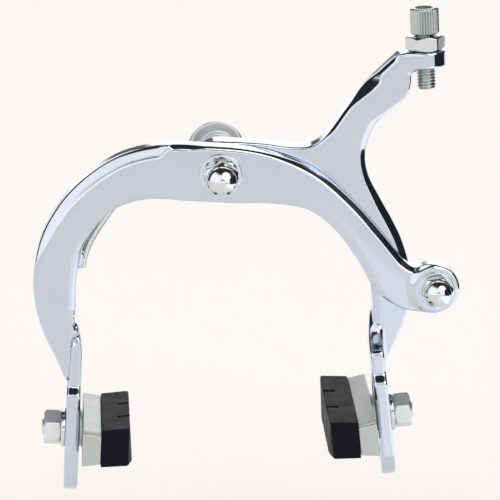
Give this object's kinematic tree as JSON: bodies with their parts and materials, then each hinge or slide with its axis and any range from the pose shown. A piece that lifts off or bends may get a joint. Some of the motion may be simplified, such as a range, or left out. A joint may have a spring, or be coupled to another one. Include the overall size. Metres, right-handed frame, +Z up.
{
  "type": "bicycle rim brake caliper",
  "caption": "Long-reach single-pivot side-pull rim brake caliper with two curved polished arms, slotted legs, rubber brake shoes, a barrel adjuster and a cable anchor.",
  "frame": {"origin": "on the pivot bolt's axis, in the rear face of the toothed washer that seats on the fork crown", "axes": "+Y to the rear along the pivot bolt, into the fork crown; +Z up; +X towards the cable side. The wheel runs between the shoes in the YZ plane."},
  "size_m": [0.1335, 0.0739, 0.1488],
  "materials": {
    "arm_alloy": "mirror polished",
    "bright_steel": "bright plated",
    "zinc_steel": "zinc plated",
    "spring_wire": "drawn wire, plated",
    "barrel_metal": "knurled, zinc plated",
    "bronze": "plain sintered",
    "nylon_natural": "plain moulded",
    "nylon_blue": "plain moulded",
    "shoe_alloy": "satin tumbled",
    "pad_rubber": "moulded, slight sheen"
  },
  "bodies": {
    "pivot_stack": {"pivot_bolt": "zinc_steel", "toothed_washer": "zinc_steel", "spring_block": "zinc_steel", "return_spring": "spring_wire", "rear_thrust_washer": "nylon_natural", "arm_washer": "bronze", "front_washer": "bright_steel", "pivot_lock_nut": "bright_steel", "pivot_cap_nut": "bright_steel", "saddle_washer": "zinc_steel", "mounting_washer": "zinc_steel", "mounting_nut": "zinc_steel", "mounting_nut_insert": "nylon_blue"},
    "front_arm": {"front_arm": "arm_alloy", "front_arm_bush": "bronze"},
    "rear_arm": {"rear_arm": "arm_alloy", "rear_arm_bush": "bronze"},
    "lock_nut": {"barrel_lock_nut": "bright_steel"},
    "barrel": {"barrel_adjuster": "barrel_metal"},
    "cable_anchor": {"anchor_bolt": "zinc_steel", "anchor_clamp_washer": "zinc_steel", "anchor_front_washer": "bright_steel", "anchor_cap_nut": "bright_steel"},
    "left_clamp": {"left_inner_washer": "zinc_steel", "left_outer_washer": "bright_steel", "left_shoe_nut": "zinc_steel"},
    "left_shoe": {"left_shoe_stud": "zinc_steel", "left_shoe_holder": "shoe_alloy", "left_pad": "pad_rubber"},
    "right_clamp": {"right_inner_washer": "zinc_steel", "right_outer_washer": "bright_steel", "right_shoe_nut": "zinc_steel"},
    "right_shoe": {"right_shoe_stud": "zinc_steel", "right_shoe_holder": "shoe_alloy", "right_pad": "pad_rubber"}
  },
  "joints": [
    {"name": "front_arm_pivot", "type": "hinge", "parent": "pivot_stack", "child": "front_arm", "pos_m": [0, -0.0227, 0], "axis": [0, -1, 0], "range_deg": [0, 15], "stiffness_Nm_per_rad": 1, "springref_deg": -20.05, "deforming": ["return_spring"]},
    {"name": "rear_arm_pivot", "type": "hinge", "parent": "pivot_stack", "child": "rear_arm", "pos_m": [0, -0.014, 0], "axis": [0, 1, 0], "range_deg": [0, 15], "stiffness_Nm_per_rad": 1, "springref_deg": -20.05},
    {"name": "adjuster_rise", "type": "slide", "parent": "rear_arm", "child": "lock_nut", "axis": [0, 0, 1], "range_m": [0, 0.006]},
    {"name": "adjuster_turn", "type": "hinge", "parent": "lock_nut", "child": "barrel", "pos_m": [0.066, -0.0136, 0.04], "axis": [0, 0, 1], "range_deg": [0, 2160]},
    {"name": "anchor_swivel", "type": "hinge", "parent": "front_arm", "child": "cable_anchor", "pos_m": [0.066, -0.0227, -0.04], "axis": [0, 1, 0], "range_deg": [-30, 30]},
    {"name": "left_shoe_reach", "type": "slide", "parent": "front_arm", "child": "left_clamp", "axis": [0.0872, 0, 0.9962], "range_m": [-0.0098, 0.0078]},
    {"name": "left_shoe_tilt", "type": "hinge", "parent": "left_clamp", "child": "left_shoe", "pos_m": [-0.0503, -0.0195, -0.081], "axis": [0.9962, 0, -0.0872], "range_deg": [-15, 15]},
    {"name": "right_shoe_reach", "type": "slide", "parent": "rear_arm", "child": "right_clamp", "axis": [-0.0628, 0, 0.998], "range_m": [-0.0108, 0.0068]},
    {"name": "right_shoe_tilt", "type": "hinge", "parent": "right_clamp", "child": "right_shoe", "pos_m": [0.04824, -0.0195, -0.08121], "axis": [-0.998, 0, -0.0628], "range_deg": [-15, 15]}
  ],
  "couplings": [
    {"joint": "rear_arm_pivot", "follows": "front_arm_pivot", "ratio": 1},
    {"joint": "adjuster_turn", "follows": "adjuster_rise", "rad_per_m": 6283.2}
  ]
}
